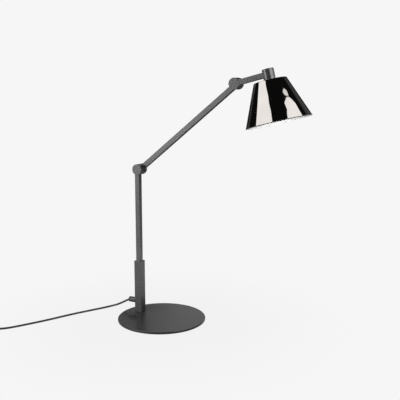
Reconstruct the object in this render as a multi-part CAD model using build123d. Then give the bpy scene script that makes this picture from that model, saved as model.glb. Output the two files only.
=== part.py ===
from build123d import *
import math
import os

# Desk lamp: a round base, an off-centre square post and three square arms joined by disc hinges,
# with a cone shade on the last one. The lower arm and the head arm lie in the front layer and the
# upper arm lies in the rear layer, so the discs stand side by side.
# Frame: origin at the middle of the underside, +X towards the shade, +Y to the rear, +Z up.
# Lengths are in millimetres and angles in degrees.

# Base
base_d = 220.0
base_t = 5.0
base_edge = 0.8
pad_t = 1.0
pad_inset = 5.0

# Post, and the screws that hold it
post_x = -74.6
post_y = 17.3
post_side = 20.0
post_wall = 1.5
post_corner = 0.8
post_length = 134.0
foot_height = 14.0
screw_d = 5.0
screw_head_d = 9.6
screw_head_t = 2.6
screw_length = 16.0
screw_spacing = 9.0

# Stem of the lower arm, turning in two bushes inside the post
stem_d = 10.0
stem_bore = 5.0
stem_depth = 61.0
stem_plug_length = 15.0
bush_height = 12.0
bush_spacing = 37.0
thrust_washer_d = 16.0
thrust_washer_t = 0.6
collar_d = 15.6
collar_t = 7.0
swivel_stop_width = 2.4
swivel_stop_height = 2.5
swivel_stop_inner = 5.6
swivel_stop_outer = 7.6
lift_play = 0.3

# Arms
arm_side = 12.5
arm_wall = 1.2
arm_corner = 0.6
elbow_height = 375.0
upper_length = 338.0
upper_tilt = 38.7
head_reach = 84.0
head_tilt = 14.0
spigot_length = 14.0

# Disc hinges
disc_d = 27.0
disc_t = 13.5
disc_edge = 0.5
joint_gap = 0.7
sleeve_d = 10.0
sleeve_bore = 7.0
sleeve_seat = 6.8
front_wall = 1.6
rear_web = 3.0
chamber_d = 20.8
cover_d = 22.0
cover_t = 1.2
friction_washer_d = 17.6
friction_washer_t = 0.6
wave_washer_d = 16.0
wave_washer_t = 0.8
nut_d = 17.0
nut_t = 3.0
stop_radius = 11.0
stop_pin_d = 2.4
stop_pin_seat = 3.0
stop_pin_reach = 1.6
stop_groove_room = 0.2
elbow_range = (-65.0, 50.0)
wrist_range = (-55.0, 75.0)

# Hub, shade and lampholder; heights are along the shade's axis from the head arm's centre line
hub_d = 27.0
hub_above = 11.8
hub_below = 14.4
hub_cavity_d = 17.0
hub_floor = 5.4
nipple_d = 10.0
nipple_bore = 7.0
nipple_stand = 1.5
shade_top_d = 74.4
shade_bottom_d = 151.2
shade_height = 95.0
shade_wall = 1.2
shade_edge = 1.5
shade_nut_flats = 14.0
shade_nut_t = 3.0
holder_d = 27.0
holder_length = 32.0
holder_wall = 2.0
holder_roof = 5.0
core_drop = 2.4
core_roof = 3.0
core_lip = 1.0
screw_shell_d = 16.0
screw_shell_wall = 0.5
contact_d = 6.0
contact_t = 1.0

# Bulb with a small screw cap
bulb_cap_d = 13.9
bulb_cap_length = 18.5
bulb_tip_d = 4.8
bulb_tip_length = 3.4
bulb_neck_length = 16.0
bulb_neck_d = 34.6
bulb_d = 45.0
bulb_length = 74.4

# Inner cable
wire_d = 3.0
wire_offset = 3.0
wire_room = 0.5
wire_bend = 4.5
wire_end_gap = 0.2
wire_shift_gap = 10.0
wire_shift_length = 15.0

# Mains lead, its entry, the in-line switch and the plug
cord_d = 5.0
cord_floor_gap = 0.1
cord_bend_share = 0.45
gland_d = 14.0
gland_length = 22.0
gland_height = 33.0
gland_edge = 1.2
gland_mouth_d = 10.0
gland_mouth_depth = 8.0
gland_thread_d = 10.0
gland_nut_d = 14.0
gland_nut_t = 3.0
gland_tail = 1.0
switch_x = -317.6
switch_y = -266.3
switch_length = 62.0
switch_width = 22.0
switch_height = 16.0
switch_split = 7.0
switch_corner = 7.0
switch_edge = 2.0
switch_wall = 2.0
switch_end_block = 14.0
switch_cord_z = 6.0
switch_heading = 240.0
switch_lead_in = 14.0
switch_lead_out = 8.0
switch_screw_d = 2.8
switch_screw_head_d = 5.2
switch_screw_head_t = 1.6
switch_screw_sink = 0.6
switch_screw_top = 11.0
rocker_length = 16.6
rocker_width = 10.0
rocker_rise = 4.2
rocker_valley = 2.6
rocker_drop = 2.5
rocker_pivot_z = 13.0
rocker_pin_d = 2.4
rocker_lug = 2.0
rocker_room = 0.3
rocker_tilt = 7.0
window_room = 0.8
plug_x = -447.05
plug_y = -240.23
plug_heading = 112.0
plug_relief_length = 18.0
plug_relief_d0 = 6.4
plug_relief_d1 = 9.0
plug_body_length = 28.0
plug_shoulder = 8.0
plug_neck_width = 11.0
plug_shoulder_width = 28.0
plug_width = 31.0
plug_thickness = 13.0
plug_edge = 2.0
plug_pin_d = 4.0
plug_pin_length = 19.0
plug_pin_spacing = 18.6
plug_axis_z = 7.0

# Coil of the lead's spare length, wound clockwise from its outer turn in, up and out again
coil_x = -394.6
coil_y = -279.6
coil_floor_gap = 1.0
coil_pitch = 5.7
coil_layer = 5.7
coil_outer_r = 37.2
coil_turns = 5.96
coil_start_angle = -180.0
coil_straight = 5.0
coil_approach = 10.0
coil_round_turns = 0.25
coil_climb_turns = 0.5
coil_slope_step = 0.0001
coil_gap_samples = 1200
tie_width = 8.0
tie_t = 0.7
tie_room = 0.2
tie_angle = 40.0

# Fits
fit = 0.05

# Sizes that follow from the ones above
base_top = pad_t + base_t
post_top = base_top + post_length
post_inner = post_side - 2 * post_wall
bush_side = post_inner - 2 * fit
stem_bottom = post_top - stem_depth
arm_bottom = post_top + thrust_washer_t
arm_inner = arm_side - 2 * arm_wall
disc_r = disc_d / 2
disc_half = disc_t / 2
layer_step = disc_t + joint_gap
lower_length = elbow_height - arm_bottom
wrist_x = post_x + upper_length * math.cos(math.radians(upper_tilt))
wrist_z = elbow_height + upper_length * math.sin(math.radians(upper_tilt))
sleeve_front = disc_half - sleeve_seat
web_back = disc_half + joint_gap + rear_web
nut_front = web_back + fit + wave_washer_t
sleeve_back = nut_front + nut_t
shade_top = -hub_below
nut_top = shade_top - shade_wall
holder_top = nut_top - shade_nut_t
holder_bottom = holder_top - holder_length
core_top = holder_top - holder_roof - core_drop
core_bore_top = core_top - core_roof
core_bottom = holder_bottom + core_lip
bulb_top = core_bore_top - contact_t
bulb_bottom = bulb_top - bulb_length
cap_top = bulb_top - bulb_tip_length
cap_bottom = cap_top - bulb_cap_length
neck_bottom = cap_bottom - bulb_neck_length
post_left = post_x - post_side / 2
cord_start = post_left - gland_length + gland_mouth_depth
gland_inner = post_left + post_wall + gland_nut_t + gland_tail
low_bush_top = post_top - bush_spacing
low_bush_bottom = low_bush_top - bush_height
collar_top = low_bush_bottom - lift_play - swivel_stop_height
hinge_end = disc_half + joint_gap / 2 - wire_end_gap / 2
head_tube_end = head_reach - hub_cavity_d / 2 + wire_room
cord_low = cord_d / 2 + cord_floor_gap
coil_z = coil_floor_gap + cord_d / 2
switch_middle = switch_length / 2
plug_end = plug_relief_length + plug_body_length

# Places of the stop pins, seen from the rear discs
elbow_pin_angle = 90.0 - upper_tilt
wrist_pin_angle = head_tilt - upper_tilt

# Places: each arm runs along its own +X from its hinge axis, and its hinge axis is +Y
lower_place = Pos(post_x, post_y, elbow_height) * Rot(0, 90, 0)
upper_place = Pos(post_x, post_y + layer_step, elbow_height) * Rot(0, -upper_tilt, 0)
upper_end_place = upper_place * Pos(upper_length, 0, 0) * Rot(0, 180, 0)
head_place = Pos(wrist_x, post_y, wrist_z) * Rot(0, -head_tilt, 0)
hub_place = head_place * Pos(head_reach, 0, 0)
post_axis = Pos(post_x, post_y, 0)
switch_place = Pos(switch_x, switch_y, 0) * Rot(0, 0, switch_heading)
plug_place = Pos(plug_x, plug_y, plug_axis_z) * Rot(0, 0, plug_heading)


def box(x0, x1, y0, y1, z0, z1):
    return Pos((x0 + x1) / 2, (y0 + y1) / 2, (z0 + z1) / 2) * Box(x1 - x0, y1 - y0, z1 - z0)


def cyl_x(d, x0, x1):
    return Pos((x0 + x1) / 2, 0, 0) * Rot(0, 90, 0) * Cylinder(d / 2, x1 - x0)


def cyl_y(d, y0, y1):
    return Pos(0, (y0 + y1) / 2, 0) * Rot(90, 0, 0) * Cylinder(d / 2, y1 - y0)


def cyl_z(d, z0, z1):
    return Pos(0, 0, (z0 + z1) / 2) * Cylinder(d / 2, z1 - z0)


def ring_y(d_in, d_out, y0, y1):
    return cyl_y(d_out, y0, y1) - cyl_y(d_in, y0, y1)


def ring_z(d_in, d_out, z0, z1):
    return cyl_z(d_out, z0, z1) - cyl_z(d_in, z0, z1)


def turned(*points):
    """Solid turned about Z from a closed outline of (radius, height) points."""
    outline = Plane.XZ * make_face(Polyline(*points, close=True))
    return revolve(outline, Axis.Z)


def square_tube(side, wall, corner, length):
    """Square tube along +X from the origin."""
    inner = side - 2 * wall
    section = RectangleRounded(side, side, corner) - Rectangle(inner, inner)
    return extrude(Plane.YZ * section, length)


def swept(path, d):
    """Round rod along a path."""
    return sweep(Plane(origin=path @ 0, z_dir=path % 0) * Circle(d / 2), path=path)


def save(name, shape):
    export_step(shape, f"parts/{name}.step")


# Base and post
def base_pad():
    return cyl_z(base_d - 2 * pad_inset, 0, pad_t)


def post_screw_spots():
    return [Pos(post_x, post_y + side * screw_spacing / 2, pad_t) for side in (-1, 1)]


def screw_shape(grow):
    """Countersunk screw standing on its head, larger all round by the clearance given."""
    shank = screw_d / 2 + grow
    head = screw_head_d / 2 + grow
    return turned((0, 0), (head, 0), (shank, screw_head_t), (shank, screw_length), (0, screw_length))


def base_plate():
    plate = cyl_z(base_d, pad_t, base_top)
    plate = chamfer(plate.edges().filter_by(GeomType.CIRCLE), base_edge)
    for spot in post_screw_spots():
        plate -= spot * screw_shape(fit)
    return plate


def post_screws():
    return Compound([spot * screw_shape(0) for spot in post_screw_spots()])


def post_foot():
    half = bush_side / 2
    foot = post_axis * box(-half, half, -half, half, base_top, base_top + foot_height)
    for spot in post_screw_spots():
        foot -= spot * screw_shape(fit)
    return foot


def post_tube():
    tube = square_tube(post_side, post_wall, post_corner, post_length)
    tube = Pos(post_x, post_y, base_top) * Rot(0, -90, 0) * tube
    hole = cyl_x(gland_thread_d + 2 * fit, -post_side, 0)
    return tube - Pos(post_x, post_y, gland_height) * hole


def bush(top):
    half = bush_side / 2
    block = box(-half, half, -half, half, top - bush_height, top)
    return post_axis * (block - cyl_z(stem_d + 2 * fit, top - bush_height, top))


def swivel_stop(side, z0):
    """Stop block on the stem's axis: side 1 points to the rear, side -1 to the front."""
    half = swivel_stop_width / 2
    block = box(-half, half, swivel_stop_inner, swivel_stop_outer, z0, z0 + swivel_stop_height)
    return post_axis * (block if side > 0 else Rot(0, 0, 180) * block)


def stem_bush_low():
    return bush(low_bush_top) + swivel_stop(1, low_bush_bottom - swivel_stop_height)


# Cord entry on the post
def cord_gland():
    barrel = cyl_x(gland_d, -gland_length, 0)
    barrel = fillet(barrel.edges().sort_by(Axis.X)[0], gland_edge)
    mouth = Cone(cord_d / 2, gland_mouth_d / 2, gland_mouth_depth)
    barrel -= Pos(-gland_length + gland_mouth_depth / 2, 0, 0) * Rot(0, -90, 0) * mouth
    thread = cyl_x(gland_thread_d, 0, gland_inner - post_left)
    return Pos(post_left, post_y, gland_height) * (barrel + thread)


def gland_nut():
    start = post_wall
    nut = cyl_x(gland_nut_d, start, start + gland_nut_t)
    nut -= cyl_x(gland_thread_d + 2 * fit, start, start + gland_nut_t)
    return Pos(post_left, post_y, gland_height) * nut


def post_cable():
    stop = stem_bottom - wire_end_gap
    route = FilletPolyline(
        (gland_inner, post_y, gland_height),
        (post_x, post_y, gland_height),
        (post_x, post_y, stop),
        radius=wire_bend - wire_room,
    )
    return swept(route, wire_d)


# Lower arm
def stem():
    half = arm_inner / 2 - fit
    shaft = cyl_z(stem_d, stem_bottom, arm_bottom)
    plug = box(-half, half, -half, half, arm_bottom, arm_bottom + stem_plug_length)
    bore = cyl_z(stem_bore, stem_bottom, arm_bottom + stem_plug_length)
    return post_axis * (shaft + plug - bore)


def stem_washer():
    return post_axis * ring_z(stem_d + 2 * fit, thrust_washer_d, post_top, arm_bottom)


def stem_collar():
    ring = post_axis * ring_z(stem_d + 2 * fit, collar_d, collar_top - collar_t, collar_top)
    return ring + swivel_stop(-1, collar_top)


def lower_tube():
    tube = square_tube(arm_side, arm_wall, arm_corner, lower_length)
    return lower_place * (tube - cyl_y(disc_d, -arm_side, arm_side))


# Disc hinges: side 1 has its joint face at +Y, side -1 at -Y
def disc_blank(side):
    disc = cyl_y(disc_d, -disc_half, disc_half)
    disc = chamfer(disc.edges().filter_by(GeomType.CIRCLE), disc_edge)
    half = arm_inner / 2 - fit
    wire_side = -(wire_offset - wire_d / 2 - wire_room)
    y0, y1 = sorted((side * wire_side, side * half))
    disc += box(disc_r - arm_wall, disc_r + spigot_length, y0, y1, -half, half)
    wire_hole = cyl_x(wire_d + 2 * wire_room, 0, disc_r + spigot_length)
    return disc - Pos(0, -side * wire_offset, 0) * wire_hole


def front_disc():
    disc = disc_blank(1)
    disc -= cyl_y(sleeve_d + 2 * fit, -disc_half + front_wall, disc_half)
    pin_hole = cyl_y(stop_pin_d + 2 * fit, disc_half - stop_pin_seat, disc_half)
    return disc - Pos(-stop_radius, 0, 0) * pin_hole


def stop_groove(first, last):
    """Arc groove in a rear disc's joint face, between two places of the stop pin."""
    half = stop_pin_d / 2 + stop_groove_room
    spread = math.degrees(half / stop_radius)
    depth = stop_pin_reach + stop_groove_room
    arc = last - first + 2 * spread
    on_axis = (Align.NONE, Align.NONE, Align.CENTER)
    outer = Cylinder(stop_radius + half, depth, arc_size=arc, align=on_axis)
    inner = Cylinder(stop_radius - half, depth)
    turn = Rot(90, 0, 0) * Rot(0, 0, first - spread)
    return Pos(0, -disc_half + depth / 2, 0) * turn * (outer - inner)


def rear_disc(first, last):
    disc = disc_blank(-1)
    disc -= cyl_y(sleeve_d + 2 * fit, -disc_half, disc_half)
    disc -= cyl_y(chamber_d, -disc_half + rear_web, disc_half)
    disc -= cyl_y(cover_d, disc_half - cover_t, disc_half)
    return disc - stop_groove(first, last)


def sleeve():
    return ring_y(sleeve_bore, sleeve_d, sleeve_front, sleeve_back)


def stop_pin():
    pin = cyl_y(stop_pin_d, disc_half - stop_pin_seat, disc_half + joint_gap + stop_pin_reach)
    return Pos(-stop_radius, 0, 0) * pin


def wave_washer():
    start = web_back + fit
    return ring_y(sleeve_d + 2 * fit, wave_washer_d, start, start + wave_washer_t)


def slotted_nut():
    return ring_y(sleeve_d + 2 * fit, nut_d, nut_front, sleeve_back)


def friction_washer():
    seat = -disc_half
    return ring_y(sleeve_d + 4 * fit, friction_washer_d, seat - friction_washer_t, seat)


def cover():
    return cyl_y(cover_d - 2 * fit, disc_half - cover_t, disc_half)


# Cable ends lie on the hinge axes, so a hinge only twists the cable
def lower_cable():
    straight_end = arm_bottom + stem_plug_length
    shift_start = elbow_height - straight_end - wire_shift_gap
    shift_end = shift_start - wire_shift_length
    route = FilletPolyline(
        (0, hinge_end, 0),
        (0, -wire_offset, 0),
        (shift_end, -wire_offset, 0),
        (shift_start, 0, 0),
        (elbow_height - stem_bottom, 0, 0),
        radius=wire_bend,
    )
    return lower_place * swept(route, wire_d)


def upper_tube():
    tube = square_tube(arm_side, arm_wall, arm_corner, upper_length)
    for end in (0, upper_length):
        tube -= Pos(end, 0, 0) * cyl_y(disc_d, -arm_side, arm_side)
    return upper_place * tube


def upper_cable():
    route = FilletPolyline(
        (0, -hinge_end, 0),
        (0, wire_offset, 0),
        (upper_length, wire_offset, 0),
        (upper_length, -hinge_end, 0),
        radius=wire_bend,
    )
    return upper_place * swept(route, wire_d)


def elbow_rear_disc():
    disc = rear_disc(elbow_pin_angle - elbow_range[1], elbow_pin_angle - elbow_range[0])
    return upper_place * disc


def wrist_rear_disc():
    disc = rear_disc(wrist_pin_angle + wrist_range[0], wrist_pin_angle + wrist_range[1])
    return upper_end_place * disc


# Head
def head_tube():
    tube = square_tube(arm_side, arm_wall, arm_corner, head_tube_end)
    return head_place * (tube - cyl_y(disc_d, -arm_side, arm_side))


def hub():
    body = cyl_z(hub_d, -hub_below, hub_above)
    body = chamfer(body.edges().filter_by(GeomType.CIRCLE), disc_edge)
    body -= cyl_z(hub_cavity_d, -hub_below + hub_floor, hub_above)
    body -= cyl_z(cover_d, hub_above - cover_t, hub_above)
    body -= cyl_z(nipple_d + 2 * fit, -hub_below, 0)
    half = arm_side / 2 + fit
    return hub_place * (body - box(-hub_d, 0, -half, half, -half, half))


def hub_cap():
    return hub_place * cyl_z(cover_d - 2 * fit, hub_above - cover_t, hub_above)


def hub_nipple():
    top = -hub_below + hub_floor + nipple_stand
    return hub_place * ring_z(nipple_bore, nipple_d, holder_top - holder_roof, top)


def head_cable():
    hub_edge = head_reach - hub_cavity_d / 2
    route = FilletPolyline(
        (0, hinge_end, 0),
        (0, -wire_offset, 0),
        (hub_edge, -wire_offset, 0),
        (head_reach, 0, -wire_d / 2),
        (head_reach, 0, holder_top - holder_roof),
        radius=[wire_bend, wire_bend, wire_bend - wire_room],
    )
    return head_place * swept(route, wire_d)


def shade():
    top_r = shade_top_d / 2
    bottom_r = shade_bottom_d / 2
    lean = math.atan2(bottom_r - top_r, shade_height)
    side_wall = shade_wall / math.cos(lean)
    foot = shade_top - shade_height
    inner_r = top_r - side_wall + shade_wall * math.tan(lean)
    hole = nipple_d / 2 + fit
    body = turned(
        (hole, shade_top),
        (top_r, shade_top),
        (bottom_r, foot),
        (bottom_r - side_wall, foot),
        (inner_r, shade_top - shade_wall),
        (hole, shade_top - shade_wall),
    )
    rim = body.edges().filter_by(GeomType.CIRCLE).sort_by(Axis.Z).group_by(Axis.Z)[-1]
    return hub_place * fillet(rim.sort_by(SortBy.RADIUS)[-1], shade_edge)


def shade_nut():
    outline = RegularPolygon(shade_nut_flats / 2, 6, major_radius=False)
    nut = Pos(0, 0, holder_top) * extrude(outline, shade_nut_t)
    return hub_place * (nut - cyl_z(nipple_d + 2 * fit, holder_top, nut_top))


def holder_shell():
    body = cyl_z(holder_d, holder_bottom, holder_top)
    body -= cyl_z(holder_d - 2 * holder_wall, holder_bottom, holder_top - holder_roof)
    return hub_place * (body - cyl_z(nipple_d + 2 * fit, holder_bottom, holder_top))


def holder_core():
    body = cyl_z(holder_d - 2 * holder_wall - 2 * fit, core_bottom, core_top)
    return hub_place * (body - cyl_z(screw_shell_d + 2 * fit, core_bottom, core_bore_top))


def holder_screw_shell():
    inner = screw_shell_d - 2 * screw_shell_wall
    return hub_place * ring_z(inner, screw_shell_d, core_bottom, core_bore_top)


def holder_contact():
    return hub_place * cyl_z(contact_d, core_bore_top - contact_t, core_bore_top)


def bulb_cap():
    cap_r = bulb_cap_d / 2
    tip_r = bulb_tip_d / 2
    shape = turned(
        (0, bulb_top),
        (tip_r, bulb_top),
        (cap_r, cap_top),
        (cap_r, cap_bottom),
        (0, cap_bottom),
    )
    return hub_place * shape


def bulb_neck():
    shape = turned(
        (0, cap_bottom),
        (bulb_cap_d / 2, cap_bottom),
        (bulb_neck_d / 2, neck_bottom),
        (0, neck_bottom),
    )
    return hub_place * shape


def bulb_globe():
    ball = Pos(0, 0, bulb_bottom + bulb_d / 2) * Sphere(bulb_d / 2)
    return hub_place * (ball - cyl_z(2 * bulb_d, neck_bottom, 0))


# In-line switch: its own +X runs along the lead, away from the lamp
def along_switch(x):
    """Point on the lead's axis, measured from the switch's end that faces the lamp."""
    return tuple((switch_place * Pos(x, 0, switch_cord_z)).position)


def switch_block(z0, z1):
    section = RectangleRounded(switch_length, switch_width, switch_corner)
    return Pos(switch_middle, 0, z0) * extrude(section, z1 - z0)


def switch_cavity(z0, z1):
    half = switch_width / 2 - switch_wall
    return box(switch_end_block, switch_length - switch_end_block, -half, half, z0, z1)


def switch_screw(grow):
    shank = switch_screw_d / 2 + grow
    head = switch_screw_head_d / 2 + grow
    shoulder = switch_screw_sink + switch_screw_head_t
    return turned(
        (0, switch_screw_sink - grow),
        (head, switch_screw_sink - grow),
        (head, shoulder + grow),
        (shank, shoulder + grow),
        (shank, switch_screw_top + grow),
        (0, switch_screw_top + grow),
    )


def switch_screw_spots():
    inset = switch_end_block / 2
    return [Pos(x, 0, 0) for x in (inset, switch_length - inset)]


def switch_base():
    body = switch_block(0, switch_split) - switch_cavity(switch_wall, switch_split)
    for spot in switch_screw_spots():
        body -= spot * switch_screw(fit)
        body -= spot * cyl_z(switch_screw_head_d + 2 * fit, 0, switch_screw_sink)
    return switch_place * body


def switch_cover():
    body = switch_block(switch_split, switch_height)
    body = fillet(body.edges().group_by(Axis.Z)[-1], switch_edge)
    body -= switch_cavity(switch_split, switch_height - switch_wall)
    middle = Pos(switch_middle, 0, 0)
    half_x = rocker_length / 2 + window_room
    half_y = rocker_width / 2 + rocker_room
    body -= middle * box(-half_x, half_x, -half_y, half_y, switch_split, switch_height)
    lug_half = rocker_pin_d
    lug_top = switch_height - switch_wall
    for side in (-1, 1):
        y0, y1 = sorted((side * half_y, side * (half_y + rocker_lug)))
        body += middle * box(-lug_half, lug_half, y0, y1, rocker_pivot_z - lug_half, lug_top)
    pin_hole = cyl_y(rocker_pin_d + 2 * fit, -half_y - rocker_lug, half_y + rocker_lug)
    body -= Pos(switch_middle, 0, rocker_pivot_z) * pin_hole
    for spot in switch_screw_spots():
        body -= spot * switch_screw(fit)
    return switch_place * body


def switch_screws():
    return Compound([switch_place * spot * switch_screw(0) for spot in switch_screw_spots()])


def switch_rocker():
    half = rocker_length / 2
    outline = Polyline(
        (-half, rocker_rise),
        (0, rocker_valley),
        (half, rocker_rise),
        (half, 0),
        (rocker_pin_d, -rocker_drop),
        (-rocker_pin_d, -rocker_drop),
        (-half, 0),
        close=True,
    )
    body = extrude(Plane.XZ * make_face(outline), rocker_width / 2, both=True)
    reach = rocker_width / 2 + rocker_room + rocker_lug
    body += cyl_y(rocker_pin_d, -reach, reach)
    return switch_place * Pos(switch_middle, 0, rocker_pivot_z) * Rot(0, rocker_tilt, 0) * body


# Mains lead
def cord_route(points):
    """Straight runs joined by arcs that are as large as the runs allow."""
    spots = [Vector(*point) for point in points]
    radii = []
    for before, here, after in zip(spots, spots[1:], spots[2:]):
        turn = (here - before).get_angle(after - here)
        shorter = min((here - before).length, (after - here).length)
        radii.append(cord_bend_share * shorter / math.tan(math.radians(turn / 2)))
    return FilletPolyline(*spots, radius=radii), radii


def cord_stretch(name, points):
    route, radii = cord_route(points)
    tube = swept(route, cord_d)
    ideal = route.length * math.pi * cord_d**2 / 4
    print(name, "length", round(route.length, 1), "least radius", round(min(radii), 1))
    print(name, "radii", [round(r) for r in radii], "volume over ideal", round(tube.volume / ideal, 4))
    return tube


def coil_point(turn):
    """Centre line of the coil after a number of turns; its innermost turn climbs to the upper layer."""
    middle = coil_turns / 2
    away = abs(turn - middle)
    if away < coil_round_turns:
        away = (away**2 + coil_round_turns**2) / (2 * coil_round_turns)
    radius = coil_outer_r - coil_pitch * (middle - away)
    climb = min(max((turn - middle) / coil_climb_turns + 1 / 2, 0), 1)
    height = coil_z + coil_layer * climb**2 * (3 - 2 * climb)
    angle = math.radians(coil_start_angle - 360 * turn)
    return Vector(coil_x + radius * math.cos(angle), coil_y + radius * math.sin(angle), height)


def coil_heading(turn):
    first = max(turn - coil_slope_step, 0)
    last = min(turn + coil_slope_step, coil_turns)
    return (coil_point(last) - coil_point(first)).normalized()


def biarc(p0, t0, p1, t1):
    """Two arcs that leave p0 along t0, meet smoothly and reach p1 along t1."""
    v = p1 - p0
    both = t0 + t1
    a = 2 * (t0.dot(t1) - 1)
    b = -2 * v.dot(both)
    c = v.dot(v)
    reach = (-b - math.sqrt(b * b - 4 * a * c)) / (2 * a)
    middle = ((p0 + t0 * reach) + (p1 - t1 * reach)) / 2
    first = TangentArc(p0, middle, tangent=t0)
    return [first, TangentArc(middle, p1, tangent=first % 1)]


coil_start = coil_point(0) - coil_heading(0) * coil_straight
coil_end = coil_point(coil_turns) + coil_heading(coil_turns) * coil_straight


def cord_coil():
    quarters = math.ceil(4 * coil_turns)
    stops = [coil_turns * i / quarters for i in range(quarters + 1)]
    edges = [Line(coil_start, coil_point(0))]
    for a, b in zip(stops, stops[1:]):
        edges += biarc(coil_point(a), coil_heading(a), coil_point(b), coil_heading(b))
    edges.append(Line(coil_point(coil_turns), coil_end))
    route = Wire(edges)
    tube = swept(route, cord_d)
    spots = [route @ (i / coil_gap_samples) for i in range(coil_gap_samples + 1)]
    half_turn = 2 * coil_gap_samples // quarters
    least = min((p - q).length for i, p in enumerate(spots) for q in spots[i + half_turn:])
    ideal = route.length * math.pi * cord_d**2 / 4
    print("cord_coil length", round(route.length, 1), "least gap", round(least - cord_d, 3))
    print("cord_coil volume over ideal", round(tube.volume / ideal, 4))
    return tube


def coil_tie():
    reach = coil_turns / 2 * coil_pitch
    inner = coil_outer_r - reach - cord_d / 2 - tie_room
    outer = coil_outer_r + cord_d / 2 + tie_room
    low = coil_z - cord_d / 2 - tie_room
    high = coil_z + coil_layer + cord_d / 2 + tie_room
    half = tie_width / 2
    band = box(inner - tie_t, outer + tie_t, -half, half, low - tie_t, high + tie_t)
    band -= box(inner, outer, -half, half, low, high)
    return Pos(coil_x, coil_y, 0) * Rot(0, 0, tie_angle) * band


# Routes of the free stretches, chosen by hand
lead_points = [
    (cord_start, post_y, gland_height),
    (-103.5, post_y, gland_height),
    (-108.3, post_y, 31.9),
    (-146.0, post_y, 14.4),
    (-157.0, post_y, 9.4),
    (-166.5, post_y, 5.6),
    (-175.2, 13.9, 3.6),
    (-181.9, 7.2, 2.8),
    (-197.7, -30.4, cord_low),
    (-219.2, -81.0, cord_low),
    (-247.1, -140.8, cord_low),
    (-276.2, -195.5, cord_low),
    (-298.2, -233.6, cord_low),
    along_switch(-switch_lead_in),
    along_switch(0),
]
link_points = [
    along_switch(switch_length),
    along_switch(switch_length + switch_lead_out),
    (-359.8, -334.6, 5.4),
    (-372.0, -339.8, 4.4),
    (-390.0, -339.0, coil_z),
    (-409.5, -331.5, coil_z),
    (-425.5, -315.0, coil_z),
    tuple(coil_start - coil_heading(0) * coil_approach),
    tuple(coil_start),
]
tail_points = [
    tuple(coil_end),
    tuple(coil_end + coil_heading(coil_turns) * coil_approach),
    (-438.2, -262.3, 8.4),
    (-443.3, -249.5, plug_axis_z),
    (plug_x, plug_y, plug_axis_z),
]


def plug_body():
    relief = Cone(plug_relief_d0 / 2, plug_relief_d1 / 2, plug_relief_length)
    relief = Pos(plug_relief_length / 2, 0, 0) * Rot(0, 90, 0) * relief
    right_side = [
        (plug_relief_length, -plug_neck_width / 2),
        (plug_relief_length + plug_shoulder, -plug_shoulder_width / 2),
        (plug_end, -plug_width / 2),
    ]
    left_side = [(x, -y) for x, y in reversed(right_side)]
    outline = make_face(Polyline(*right_side, *left_side, close=True))
    body = Pos(0, 0, -plug_thickness / 2) * extrude(outline, plug_thickness)
    body = fillet(body.edges().filter_by(Axis.Z), plug_edge)
    for level in (0, -1):
        body = fillet(body.edges().group_by(Axis.Z)[level], plug_edge)
    body += relief
    for side in (-1, 1):
        hole = cyl_x(plug_pin_d + 2 * fit, plug_end - plug_body_length / 2, plug_end)
        body -= Pos(0, side * plug_pin_spacing / 2, 0) * hole
    return plug_place * body


def plug_pins():
    pin = cyl_x(plug_pin_d, plug_end - plug_body_length / 2, plug_end + plug_pin_length)
    pin = fillet(pin.edges().sort_by(Axis.X)[-1], plug_pin_d / 4)
    spots = [Pos(0, side * plug_pin_spacing / 2, 0) for side in (-1, 1)]
    return Compound([plug_place * spot * pin for spot in spots])


pieces = {
    "base_pad": base_pad(),
    "base_plate": base_plate(),
    "post_screws": post_screws(),
    "post_foot": post_foot(),
    "post_tube": post_tube(),
    "stem_bush_top": bush(post_top),
    "stem_bush_low": stem_bush_low(),
    "cord_gland": cord_gland(),
    "gland_nut": gland_nut(),
    "post_cable": post_cable(),
    "stem": stem(),
    "stem_washer": stem_washer(),
    "stem_collar": stem_collar(),
    "lower_tube": lower_tube(),
    "lower_cable": lower_cable(),
    "upper_tube": upper_tube(),
    "upper_cable": upper_cable(),
    "elbow_rear_disc": elbow_rear_disc(),
    "wrist_rear_disc": wrist_rear_disc(),
    "head_tube": head_tube(),
    "hub": hub(),
    "hub_cap": hub_cap(),
    "hub_nipple": hub_nipple(),
    "head_cable": head_cable(),
    "shade": shade(),
    "shade_nut": shade_nut(),
    "holder_shell": holder_shell(),
    "holder_core": holder_core(),
    "holder_screw_shell": holder_screw_shell(),
    "holder_contact": holder_contact(),
    "bulb_cap": bulb_cap(),
    "bulb_neck": bulb_neck(),
    "bulb_globe": bulb_globe(),
    "switch_base": switch_base(),
    "switch_cover": switch_cover(),
    "switch_screws": switch_screws(),
    "switch_rocker": switch_rocker(),
    "cord_lead": cord_stretch("cord_lead", lead_points),
    "cord_link": cord_stretch("cord_link", link_points),
    "cord_coil": cord_coil(),
    "cord_tail": cord_stretch("cord_tail", tail_points),
    "coil_tie": coil_tie(),
    "plug_body": plug_body(),
    "plug_pins": plug_pins(),
}
for joint, front, rear in (
    ("elbow", lower_place, upper_place),
    ("wrist", head_place, upper_end_place),
):
    pieces[f"{joint}_front_disc"] = front * front_disc()
    pieces[f"{joint}_sleeve"] = front * sleeve()
    pieces[f"{joint}_stop_pin"] = front * stop_pin()
    pieces[f"{joint}_wave_washer"] = front * wave_washer()
    pieces[f"{joint}_nut"] = front * slotted_nut()
    pieces[f"{joint}_friction_washer"] = rear * friction_washer()
    pieces[f"{joint}_cover"] = rear * cover()

os.makedirs("parts", exist_ok=True)
for name, shape in pieces.items():
    save(name, shape)
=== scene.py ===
import math

import bpy
from mathutils import Matrix, Vector


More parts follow.
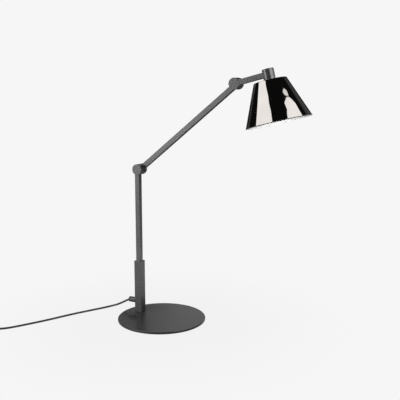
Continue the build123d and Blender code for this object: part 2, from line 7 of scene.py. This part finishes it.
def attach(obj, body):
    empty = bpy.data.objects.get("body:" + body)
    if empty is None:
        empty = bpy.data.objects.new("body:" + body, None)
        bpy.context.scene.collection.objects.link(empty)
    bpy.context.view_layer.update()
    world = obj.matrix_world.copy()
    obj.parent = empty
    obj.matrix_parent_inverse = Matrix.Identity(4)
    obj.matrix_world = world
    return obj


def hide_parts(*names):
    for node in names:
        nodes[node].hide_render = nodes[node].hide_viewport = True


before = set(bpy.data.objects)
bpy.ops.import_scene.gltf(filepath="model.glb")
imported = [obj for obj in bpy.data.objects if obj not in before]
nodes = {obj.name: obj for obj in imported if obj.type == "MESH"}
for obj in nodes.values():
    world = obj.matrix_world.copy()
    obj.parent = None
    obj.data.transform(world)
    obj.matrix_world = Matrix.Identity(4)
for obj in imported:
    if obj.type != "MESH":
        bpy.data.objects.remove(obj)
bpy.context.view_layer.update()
scene = bpy.context.scene
scene.view_settings.view_transform = "Standard"

# Sizes repeated from the part, in metres and degrees. The shade's heights count from the hub's spot.
hub_spot = Vector((0.27069, 0.0173, 0.60665))
head_tilt = 14.0
shade_top = -0.0144
shade_height = 0.095
shade_top_r = 0.0372
shade_bottom_r = 0.0756
shade_hole_r = 0.00505
shade_wall = 0.0012
shade_edge = 0.0015
cord_d = 0.005
switch_spot = Vector((-0.3176, -0.2663, 0.006))
switch_heading = 240.0
switch_length = 0.062
switch_lead_in = 0.014
switch_lead_out = 0.008
coil_spot = Vector((-0.3946, -0.2796, 0.0035))
coil_pitch = 0.0057
coil_layer = 0.0057
coil_outer_r = 0.0372
coil_turns = 5.96
coil_start_angle = -180.0
coil_round_turns = 0.25
coil_climb_turns = 0.5
coil_straight = 0.005
coil_approach = 0.010

# How finely the shade and the coil are divided, and the height of the shade's dark rim, a band painted
# matt near-black in place of the mirror finish
shade_segments = 256
shade_edge_steps = 8
shade_sharp_angle = 35
shade_rim = 0.0018
coil_steps = 144
coil_slope_step = 0.001

# Values of a noise between which its two colours blend
noise_range = (0.3, 0.7)

# Stage: brightness as linear values, distances in metres, angles in degrees
paper = 0.9216
scattered_light = 0.12
floor_half = 30.0
floor_z = -0.0003
floor_grey = 0.4
floor_shadow_near = 0.15
floor_shadow_far = 0.5
floor_paper_share = 0.95
shade_spot = Vector((0.286, 0.0173, 0.545))
screen_rows = 9
screen_column_angle = 8
ground_screen_steps = 48
ground_screen_z = 0.001

# Camera: place in metres, angles in degrees, lens and sensor in millimetres, reach in metres
camera_place = (0.8145, -1.3830, 0.5748)
camera_pitch = 80.46
camera_turn = 27.04
camera_lens = 59.59
camera_sensor = 36
camera_reach = 100


# Materials
class Look:
    """A material with one principled shader, and helpers to wire textures into it."""

    def __init__(self, name, roughness, metallic=0.0):
        self.material = bpy.data.materials.new(name)
        self.material.use_nodes = True
        self.nodes = self.material.node_tree.nodes
        self.links = self.material.node_tree.links
        self.shader = self.nodes["Principled BSDF"]
        self.shader.inputs["Roughness"].default_value = roughness
        self.shader.inputs["Metallic"].default_value = metallic
        self.place = self.nodes.new("ShaderNodeTexCoord").outputs["Object"]

    def set(self, **values):
        for name, value in values.items():
            self.shader.inputs[name.replace("_", " ")].default_value = value

    def noise(self, scale, detail=2.0, stretch=(1, 1, 1)):
        mapping = self.nodes.new("ShaderNodeMapping")
        mapping.inputs["Scale"].default_value = stretch
        self.links.new(self.place, mapping.inputs["Vector"])
        noise = self.nodes.new("ShaderNodeTexNoise")
        noise.inputs["Scale"].default_value = scale
        noise.inputs["Detail"].default_value = detail
        self.links.new(mapping.outputs["Vector"], noise.inputs["Vector"])
        return noise.outputs["Fac"]

    def colours(self, factor, low, high):
        ramp = self.nodes.new("ShaderNodeValToRGB")
        for stop, position, colour in zip(ramp.color_ramp.elements, noise_range, (low, high)):
            stop.position = position
            stop.color = (*colour, 1)
        self.links.new(factor, ramp.inputs["Fac"])
        self.links.new(ramp.outputs["Color"], self.shader.inputs["Base Color"])

    def rough(self, factor, low, high):
        spread = self.nodes.new("ShaderNodeMapRange")
        spread.inputs["To Min"].default_value = low
        spread.inputs["To Max"].default_value = high
        self.links.new(factor, spread.inputs["Value"])
        self.links.new(spread.outputs["Result"], self.shader.inputs["Roughness"])

    def bump(self, height, depth, strength):
        bump = self.nodes.new("ShaderNodeBump")
        bump.inputs["Strength"].default_value = strength
        bump.inputs["Distance"].default_value = depth
        self.links.new(height, bump.inputs["Height"])
        self.links.new(bump.outputs["Normal"], self.shader.inputs["Normal"])


def grey(value, blue=1.0):
    """A grey, with its blue part made stronger or weaker."""
    return (value, value, value * blue)


def scaled(colour, factor):
    return tuple(min(factor * c, 1.0) for c in colour)


def powder_coat(name, level, roughness, shine, grain):
    """Satin coat: faint clouds in the colour and a fine orange-peel grain."""
    look = Look(name, roughness)
    look.set(Specular_IOR_Level=shine)
    clouds = look.noise(scale=14, detail=3)
    look.colours(clouds, grey(level * 0.95, blue=1.02), grey(level * 1.05, blue=1.02))
    look.rough(look.noise(scale=260), roughness - 0.03, roughness + 0.03)
    look.bump(look.noise(scale=1500, detail=3), depth=0.00006, strength=grain)
    return look.material


def moulded(name, colour, roughness, grain):
    """Moulded plastic or rubber with a fine spark-eroded grain."""
    look = Look(name, roughness)
    look.colours(look.noise(grain / 8), scaled(colour, 0.85), scaled(colour, 1.15))
    look.rough(look.noise(grain / 3), roughness - 0.06, roughness + 0.06)
    look.bump(look.noise(grain), depth=0.00005, strength=0.4)
    return look.material


def machined(name, colour, roughness, stretch):
    """Bare metal with fine tool marks that run one way."""
    look = Look(name, roughness, metallic=1.0)
    marks = look.noise(scale=900, detail=3, stretch=(1, 1, stretch))
    look.colours(marks, scaled(colour, 0.86), colour)
    look.rough(marks, roughness - 0.07, roughness + 0.07)
    look.bump(marks, depth=0.00002, strength=0.3)
    return look.material


def black_mirror():
    """Deep black polished finish, with the faint waviness of a spun shell."""
    look = Look("black_mirror", roughness=0.03, metallic=1.0)
    look.colours(look.noise(scale=30), (0.104, 0.0985, 0.094), (0.112, 0.106, 0.101))
    look.rough(look.noise(scale=160), low=0.025, high=0.045)
    look.bump(look.noise(scale=26, detail=1), depth=0.0002, strength=0.12)
    return look.material


def white_enamel():
    """Matt white inside of the shade."""
    look = Look("shade_lining", roughness=0.5)
    look.set(Specular_IOR_Level=0.0)
    look.colours(look.noise(scale=40), grey(0.78, blue=0.98), grey(0.83, blue=0.98))
    look.bump(look.noise(scale=1100), depth=0.00005, strength=0.3)
    return look.material


def opal_glass():
    """White glass that lets some light in."""
    level = 0.9
    look = Look("opal_globe", roughness=0.3)
    look.colours(look.noise(scale=60), grey(level * 0.97, blue=0.97), grey(level, blue=0.97))
    look.rough(look.noise(scale=300), low=0.26, high=0.34)
    look.set(Subsurface_Weight=0.3, Subsurface_Scale=0.004)
    return look.material


base_coat = powder_coat("base_coat", level=0.04, roughness=0.29, shine=0.18, grain=0.02)
# The post wears the arm paint at a lower level: painted shade for the lesser light that reaches the post
shaded_post_coat = powder_coat("shaded_post_coat", level=0.08, roughness=0.3, shine=0.25, grain=0.15)
arm_coat = powder_coat("arm_coat", level=0.105, roughness=0.3, shine=0.2, grain=0.15)
hub_coat = powder_coat("hub_coat", level=0.06, roughness=0.22, shine=0.36, grain=0.08)
grey_bush = moulded("grey_bush", grey(0.3), roughness=0.4, grain=1800)
mirror = black_mirror()
lining = white_enamel()
zinc = machined("zinc_steel", (0.62, 0.62, 0.64), roughness=0.3, stretch=8)
aluminium = machined("bare_aluminium", (0.72, 0.72, 0.74), roughness=0.32, stretch=6)
brass = machined("plain_brass", (0.72, 0.53, 0.24), roughness=0.28, stretch=6)
black_plastic = moulded("black_plastic", (0.02, 0.02, 0.021), roughness=0.5, grain=2200)
black_gloss = moulded("black_gloss", grey(0.02), roughness=0.2, grain=1200)
# Matt near-black for the shade's rim in place of its mirror finish: a painted dark edge where the mirror
# would reflect the pale floor
painted_dark_rim = moulded("painted_dark_rim", grey(0.01), roughness=0.7, grain=6000)
sheath = moulded("black_sheath", (0.009, 0.009, 0.0095), roughness=0.5, grain=1600)
pad_rubber = moulded("pad_rubber", grey(0.02), roughness=0.85, grain=900)
dark_bush = moulded("dark_bush", grey(0.03), roughness=0.5, grain=1800)
pale_bush = moulded("pale_bush", (0.7, 0.69, 0.66), roughness=0.45, grain=1800)
ceramic = moulded("white_ceramic", (0.8, 0.79, 0.75), roughness=0.55, grain=1400)
opal = opal_glass()
white_neck = moulded("white_neck", (0.82, 0.82, 0.8), roughness=0.4, grain=1500)

# Which material each solid gets
dress = {
    base_coat: ["base_plate"],
    shaded_post_coat: ["post_tube"],
    arm_coat: [
        "lower_tube",
        "upper_tube",
        "head_tube",
        "elbow_front_disc",
        "elbow_rear_disc",
        "elbow_cover",
        "wrist_front_disc",
        "wrist_rear_disc",
        "wrist_cover",
    ],
    hub_coat: ["hub", "hub_cap"],
    zinc: [
        "post_screws",
        "switch_screws",
        "stem",
        "stem_collar",
        "elbow_sleeve",
        "elbow_stop_pin",
        "elbow_wave_washer",
        "wrist_sleeve",
        "wrist_stop_pin",
        "wrist_wave_washer",
        "hub_nipple",
        "shade_nut",
    ],
    aluminium: ["post_foot", "bulb_cap"],
    brass: ["plug_pins", "elbow_nut", "wrist_nut", "holder_screw_shell", "holder_contact"],
    black_plastic: [
        "cord_gland",
        "gland_nut",
        "switch_base",
        "switch_cover",
        "coil_tie",
        "plug_body",
        "holder_shell",
    ],
    black_gloss: ["switch_rocker"],
    sheath: ["post_cable", "lower_cable", "upper_cable", "head_cable"],
    pad_rubber: ["base_pad"],
    dark_bush: ["stem_bush_top", "stem_bush_low"],
    grey_bush: ["stem_washer"],
    pale_bush: ["elbow_friction_washer", "wrist_friction_washer"],
    ceramic: ["holder_core"],
    white_neck: ["bulb_neck"],
    opal: ["bulb_globe"],
}
for material, names in dress.items():
    for name in names:
        nodes[name].data.materials.clear()
        nodes[name].data.materials.append(material)


def add(name, data):
    obj = bpy.data.objects.new(name, data)
    scene.collection.objects.link(obj)
    return obj


# Shade: a finely divided shell, so that its mirror finish shows no facets
def arc(centre, radius, first, last, count):
    """Points on an arc, from one angle to another."""
    angles = [math.radians(first + (last - first) * i / count) for i in range(count + 1)]
    return [(centre[0] + radius * math.cos(a), centre[1] + radius * math.sin(a)) for a in angles]


def shade_outline():
    """Outer side, rim and inner side of the shell, as (radius, height) points."""
    lean = math.atan2(shade_bottom_r - shade_top_r, shade_height)
    lean_deg = math.degrees(lean)
    foot = shade_top - shade_height
    side_wall = shade_wall / math.cos(lean)
    lip = shade_wall / 3
    setback = shade_edge * math.tan(math.radians((90 - lean_deg) / 2))
    corner = (shade_top_r - setback, shade_top - shade_edge)
    rounded = arc(corner, shade_edge, 90, lean_deg, shade_edge_steps)
    # A short first run keeps the shading of the rounded edge off the long side
    run = shade_edge / 4
    run_end = (rounded[-1][0] + run * math.sin(lean), rounded[-1][1] - run * math.cos(lean))
    outer = [(shade_hole_r, shade_top), *rounded, run_end]
    # The rim band takes the painted dark finish instead of the mirror
    rim = [
        (shade_bottom_r - shade_rim * math.tan(lean), foot + shade_rim),
        (shade_bottom_r - lip * math.sin(lean), foot + lip),
        (shade_bottom_r - lip, foot),
    ]
    inner = [
        (shade_bottom_r - side_wall + lip, foot),
        (shade_bottom_r - side_wall, foot + lip),
        (shade_top_r - side_wall + shade_wall * math.tan(lean), shade_top - shade_wall),
        (shade_hole_r, shade_top - shade_wall),
    ]
    return outer, rim, inner


def shade_shell():
    """The shade's outline turned round its axis and set in its place on the hub."""
    outer, rim, inner = shade_outline()
    outline = outer + rim + inner
    count = len(outline)
    verts = []
    for i in range(shade_segments):
        turn = 2 * math.pi * i / shade_segments
        verts += [(r * math.cos(turn), r * math.sin(turn), z) for r, z in outline]
    faces = []
    for i in range(shade_segments):
        a = i * count
        b = (i + 1) % shade_segments * count
        faces += [(a + j, a + (j + 1) % count, b + (j + 1) % count, b + j) for j in range(count)]
    mesh = bpy.data.meshes.new("shade_shell")
    mesh.from_pydata(verts, [], faces)
    mesh.transform(Matrix.Translation(hub_spot) @ Matrix.Rotation(math.radians(-head_tilt), 4, "Y"))
    for material in (mirror, painted_dark_rim, lining):
        mesh.materials.append(material)
    finishes = [0] * len(outer) + [1] * len(rim) + [2] * len(inner)
    for face in mesh.polygons:
        face.material_index = finishes[face.index % count]
    mesh.shade_smooth()
    mesh.set_sharp_from_angle(angle=math.radians(shade_sharp_angle))
    mesh.update()
    return add("shade_shell", mesh)


shell = shade_shell()
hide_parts("shade")
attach(shell, "head")


# Mains lead: close to the part's route, from the entry on the post through the switch and coil to the plug
def along_switch(distance):
    """Point on the lead's axis, measured from the switch's end that faces the lamp."""
    heading = math.radians(switch_heading)
    return switch_spot + Vector((math.cos(heading), math.sin(heading), 0)) * distance


def coil_point(turn):
    """Point on the coil, which winds in on the ground, up and out again on the layer above."""
    middle = coil_turns / 2
    away = abs(turn - middle)
    if away < coil_round_turns:
        away = (away**2 + coil_round_turns**2) / (2 * coil_round_turns)
    radius = coil_outer_r - coil_pitch * (middle - away)
    climb = min(max((turn - middle) / coil_climb_turns + 1 / 2, 0), 1)
    height = coil_layer * climb**2 * (3 - 2 * climb)
    angle = math.radians(coil_start_angle - 360 * turn)
    return coil_spot + Vector((radius * math.cos(angle), radius * math.sin(angle), height))


route = [
    Vector((-0.0986, 0.0173, 0.033)),
    Vector((-0.1035, 0.0173, 0.033)),
    Vector((-0.1083, 0.0173, 0.0317)),
    Vector((-0.1429, 0.0184, 0.0125)),
    Vector((-0.1565, 0.0186, 0.0076)),
    Vector((-0.1649, 0.0162, 0.0047)),
    Vector((-0.1719, 0.0108, 0.0030)),
    Vector((-0.1768, 0.0032, 0.0026)),
    Vector((-0.1951, -0.0313, 0.0026)),
    Vector((-0.2214, -0.0800, 0.0026)),
    Vector((-0.2474, -0.1407, 0.0026)),
    Vector((-0.2762, -0.1955, 0.0026)),
    Vector((-0.2982, -0.2336, 0.0026)),
    along_switch(-switch_lead_in),
    along_switch(0),
    along_switch(switch_length),
    along_switch(switch_length + switch_lead_out),
    Vector((-0.3598, -0.3346, 0.0054)),
    Vector((-0.3720, -0.3398, 0.0044)),
    Vector((-0.3900, -0.3390, 0.0035)),
    Vector((-0.4095, -0.3315, 0.0035)),
    Vector((-0.4255, -0.3150, 0.0035)),
]
coil_first = coil_point(0)
coil_last = coil_point(coil_turns)
way_in = (coil_point(coil_slope_step) - coil_first).normalized()
way_out = (coil_last - coil_point(coil_turns - coil_slope_step)).normalized()
coil_lead = coil_straight + coil_approach
route.append(coil_first - way_in * coil_lead)
route += [coil_point(coil_turns * i / coil_steps) for i in range(coil_steps + 1)]
route.append(coil_last + way_out * coil_lead)
route += [
    Vector((-0.4382, -0.2623, 0.0084)),
    Vector((-0.4433, -0.2495, 0.0070)),
    Vector((-0.44705, -0.24023, 0.0070)),
]

curve = bpy.data.curves.new("mains_cord", "CURVE")
curve.dimensions = "3D"
spline = curve.splines.new("NURBS")
spline.points.add(len(route) - 1)
for point, spot in zip(spline.points, route):
    point.co = (*spot, 1)
spline.order_u = 3
spline.use_endpoint_u = True
curve.resolution_u = 8
curve.bevel_depth = cord_d / 2
curve.bevel_resolution = 6
curve.use_fill_caps = True
curve.materials.append(sheath)
cord = add("mains_cord", curve)
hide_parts("cord_lead", "cord_link", "cord_coil", "cord_tail")
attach(cord, "base")
on_cord = ["switch_base", "switch_cover", "switch_screws", "switch_rocker"]
on_cord += ["coil_tie", "plug_body", "plug_pins"]


# Stage: pale floor and surroundings, which the camera and all mirrors see as plain paper
def seen_directly(tree):
    """1 for rays from the camera, a mirror or through glass, and 0 for light that is scattered."""
    path = tree.nodes.new("ShaderNodeLightPath")
    total = path.outputs["Is Camera Ray"]
    for name in ("Is Glossy Ray", "Is Transmission Ray"):
        either = tree.nodes.new("ShaderNodeMath")
        either.operation = "MAXIMUM"
        tree.links.new(total, either.inputs[0])
        tree.links.new(path.outputs[name], either.inputs[1])
        total = either.outputs[0]
    return total


def studio_world():
    world = bpy.data.worlds.new("studio")
    world.use_nodes = True
    tree = world.node_tree
    scattered = tree.nodes["Background"]
    direct = tree.nodes.new("ShaderNodeBackground")
    for background, strength in ((scattered, scattered_light), (direct, paper)):
        background.inputs["Color"].default_value = (1, 1, 1, 1)
        background.inputs["Strength"].default_value = strength
    choice = tree.nodes.new("ShaderNodeMixShader")
    tree.links.new(seen_directly(tree), choice.inputs["Fac"])
    tree.links.new(scattered.outputs["Background"], choice.inputs[1])
    tree.links.new(direct.outputs["Background"], choice.inputs[2])
    tree.links.new(choice.outputs["Shader"], tree.nodes["World Output"].inputs["Surface"])
    return world


def bare_material(name):
    """A material with an output and no shader yet."""
    material = bpy.data.materials.new(name)
    material.use_nodes = True
    tree = material.node_tree
    tree.nodes.remove(tree.nodes["Principled BSDF"])
    return material, tree, tree.nodes["Material Output"].inputs["Surface"]


def floor_material():
    """Pale floor that keeps a faint shadow near the lamp and fades to plain paper away from it."""
    material, tree, surface = bare_material("pale_floor")
    make = tree.nodes.new
    link = tree.links.new
    matt = make("ShaderNodeBsdfDiffuse")
    matt.inputs["Color"].default_value = (*grey(floor_grey), 1)
    glow = make("ShaderNodeEmission")
    glow.inputs["Strength"].default_value = paper
    distance = make("ShaderNodeVectorMath")
    distance.operation = "LENGTH"
    link(make("ShaderNodeTexCoord").outputs["Object"], distance.inputs[0])
    fade = make("ShaderNodeMapRange")
    fade.inputs["From Min"].default_value = floor_shadow_near
    fade.inputs["From Max"].default_value = floor_shadow_far
    fade.inputs["To Min"].default_value = floor_paper_share
    fade.inputs["To Max"].default_value = 1.0
    link(distance.outputs["Value"], fade.inputs["Value"])
    share = make("ShaderNodeMath")
    share.operation = "MULTIPLY"
    link(seen_directly(tree), share.inputs[0])
    link(fade.outputs["Result"], share.inputs[1])
    mix = make("ShaderNodeMixShader")
    link(share.outputs[0], mix.inputs["Fac"])
    link(matt.outputs["BSDF"], mix.inputs[1])
    link(glow.outputs["Emission"], mix.inputs[2])
    link(mix.outputs["Shader"], surface)
    return material


def plain_emission(name, strength, as_light=False):
    """An even glow. As a light, it is also sampled as one, which keeps its reflections free of specks."""
    material, tree, surface = bare_material(name)
    glow = tree.nodes.new("ShaderNodeEmission")
    glow.inputs["Strength"].default_value = strength
    tree.links.new(glow.outputs["Emission"], surface)
    material.cycles.emission_sampling = "AUTO" if as_light else "NONE"
    return material


def stage_mesh(name, verts, faces, material):
    mesh = bpy.data.meshes.new(name)
    mesh.from_pydata(verts, [], faces)
    mesh.materials.append(material)
    obj = add(name, mesh)
    return obj


def only_in_mirrors(obj):
    obj.visible_camera = False
    obj.visible_diffuse = False
    obj.visible_transmission = False
    obj.visible_volume_scatter = False
    obj.visible_shadow = False


scene.world = studio_world()
corners = [(-1, -1), (1, -1), (1, 1), (-1, 1)]
floor_verts = [(x * floor_half, y * floor_half, floor_z) for x, y in corners]
stage_mesh("floor", floor_verts, [(0, 1, 2, 3)], floor_material())


def toward(azimuth, elevation):
    """Direction from the shade: azimuth 0 is the front, and positive angles are to the left."""
    a = math.radians(azimuth)
    e = math.radians(elevation)
    return Vector((-math.sin(a) * math.cos(e), -math.cos(a) * math.cos(e), math.sin(e)))


def screen(name, azimuths, elevations, radius, level):
    """Part of a dome round the shade, seen only in polished surfaces."""
    columns = max(2, round((azimuths[1] - azimuths[0]) / screen_column_angle))
    rows = screen_rows
    verts = []
    faces = []
    for i in range(columns + 1):
        azimuth = azimuths[0] + (azimuths[1] - azimuths[0]) * i / columns
        for j in range(rows + 1):
            elevation = elevations[0] + (elevations[1] - elevations[0]) * j / rows
            verts.append(shade_spot + toward(azimuth, elevation) * radius)
    for i in range(columns):
        for j in range(rows):
            a = i * (rows + 1) + j
            faces.append((a, a + 1, a + rows + 2, a + rows + 1))
    only_in_mirrors(stage_mesh(name, verts, faces, plain_emission(name, level)))


def ground_screen(inner, outer, level):
    """Dark ring on the ground round the set, seen only in polished surfaces."""
    count = ground_screen_steps
    turns = [2 * math.pi * i / count for i in range(count)]
    verts = [(r * math.cos(t), r * math.sin(t), ground_screen_z) for r in (inner, outer) for t in turns]
    faces = [(i, (i + 1) % count, count + (i + 1) % count, count + i) for i in range(count)]
    only_in_mirrors(stage_mesh("ground_screen", verts, faces, plain_emission("ground_screen", level)))


# Dark surroundings: name, azimuths, elevations, distance from the shade and brightness
screens = [
    ("front_screen", (-147, 112), (-4, 90), 4.0, 0.03),
    ("streak_screen", (112, 122), (-4, 90), 4.0, 0.17),
    ("left_screen", (122, 146), (-4, 12), 4.0, 0.03),
    ("horizon_screen", (146, 178), (-6, 3), 4.0, 0.05),
    ("edge_screen", (146, 195), (-30, 60), 0.6, 0.04),
    ("right_screen", (-178, -144), (5, 60), 1.2, 0.22),
    ("right_low_screen", (-178, -140), (-25, 5), 1.2, 0.8),
]
for row in screens:
    screen(*row)
ground_screen(inner=0.6, outer=5.0, level=0.05)


def board(name, place, outline, strength, as_light=False):
    """White board that faces the shade, seen only in polished surfaces."""
    azimuth, elevation, distance = place
    out = toward(azimuth, elevation)
    side = Vector((-out.y, out.x, 0)).normalized()
    up = side.cross(out)
    if up.z < 0:
        up = -up
    verts = [shade_spot + out * distance + side * x + up * y for x, y in outline]
    material = plain_emission(name, strength, as_light)
    only_in_mirrors(stage_mesh(name, verts, [tuple(range(len(verts)))], material))


# Places of the boards: azimuth, elevation and distance from the shade
left_place = (50, 15, 1.2)
right_place = (-92, 51, 0.4)
hub_place = (-125, 2, 0.7)

# Outlines of the boards, from each one's middle sideways and up
left_outline = [
    (-0.50, -0.30),
    (0.02, -0.50),
    (0.18, -0.67),
    (0.37, -0.67),
    (0.37, 0.00),
    (0.44, 0.10),
    (0.80, 0.45),
    (0.80, 0.67),
    (0.645, 0.695),
    (0.62, 0.73),
    (0.52, 0.685),
    (0.51, 0.715),
    (0.385, 0.65),
    (-0.50, 0.65),
]
right_outline = [
    (-0.450, -0.115),
    (0.139, -0.115),
    (0.128, -0.080),
    (0.118, -0.053),
    (0.070, -0.034),
    (0.018, -0.0175),
    (-0.043, 0.0000),
    (-0.122, 0.0225),
    (-0.161, 0.0360),
    (-0.164, 0.017),
    (-0.203, 0.027),
    (-0.240, 0.027),
    (-0.240, -0.030),
    (-0.450, -0.030),
]
upper_outline = [
    (0.012, -0.013),
    (0.036, -0.0145),
    (0.049, -0.006),
    (0.021, 0.007),
    (-0.026, 0.020),
    (-0.088, 0.033),
    (-0.072, 0.018),
    (-0.036, 0.002),
]
side_outline = [(-0.360, -0.500), (0.110, -0.500), (0.110, -0.115), (-0.360, -0.115)]
edge_outline = [(0.110, -0.500), (0.600, -0.500), (0.600, -0.100), (0.139, -0.115)]
hub_outline = [(-0.2, -0.08), (0.2, -0.08), (0.2, 0.06), (-0.2, 0.06)]

board("left_board", left_place, left_outline, strength=7.5)
board("right_board", right_place, right_outline, strength=7.5, as_light=True)
board("upper_board", right_place, upper_outline, strength=6.0, as_light=True)
board("side_board", right_place, side_outline, strength=10.5)
board("edge_board", right_place, edge_outline, strength=2.6)
board("hub_board", hub_place, hub_outline, strength=4.7)


# Lights, and flags that hold some of their light off the base
def flag(name, middle, facing, width, height):
    """Upright board that casts a shadow and is never seen."""
    out = Vector((*facing, 0)).normalized()
    side = Vector((-out.y, out.x, 0)) * width / 2
    foot = Vector((*middle, 0))
    top = Vector((0, 0, height))
    verts = [foot - side, foot + side, foot + side + top, foot - side + top]
    obj = stage_mesh(name, verts, [(0, 1, 2, 3)], plain_emission(name, 0))
    only_in_mirrors(obj)
    obj.visible_glossy = False
    obj.visible_shadow = True


def soft_light(name, spot, target, size, power, spread=180):
    """Soft light that shows in no mirror, because the boards do."""
    light = bpy.data.lights.new(name, "AREA")
    light.shape = "RECTANGLE"
    light.size, light.size_y = size
    light.energy = power
    light.spread = math.radians(spread)
    obj = add(name, light)
    obj.location = spot
    obj.rotation_euler = (Vector(target) - Vector(spot)).to_track_quat("-Z", "Y").to_euler()
    obj.visible_camera = False
    obj.visible_glossy = False


flag("left_flag", middle=(-0.292, -0.275), facing=(-0.62, -0.785), width=0.6, height=0.1)
flag("right_flag", middle=(0.2, 0.03), facing=(1, 0.1), width=0.3, height=0.062)
soft_light("left_light", spot=(-1.1, -1.3, 0.55), target=(0, 0, 0.4), size=(1.2, 0.8), power=38)
soft_light(
    "right_light",
    spot=(0.45, 0.06, 0.06),
    target=(-0.07, 0, 0.08),
    size=(0.3, 0.15),
    power=0.38,
    spread=70,
)
soft_light(
    "under_light",
    spot=(0.60, -0.51, 0.06),
    target=(0.265, 0.085, 0.45),
    size=(0.06, 0.06),
    power=0.125,
    spread=24,
)
soft_light("back_light", spot=(-0.4, 1.6, 0.7), target=(0, 0, 0.4), size=(1.0, 1.0), power=18)

# Camera
camera = bpy.data.cameras.new("camera")
camera.sensor_width = camera_sensor
camera.lens = camera_lens
camera.clip_end = camera_reach
camera_spot = add("camera", camera)
camera_spot.location = camera_place
camera_spot.rotation_euler = (math.radians(camera_pitch), 0, math.radians(camera_turn))
scene.camera = camera_spot

bpy.context.view_layer.update()
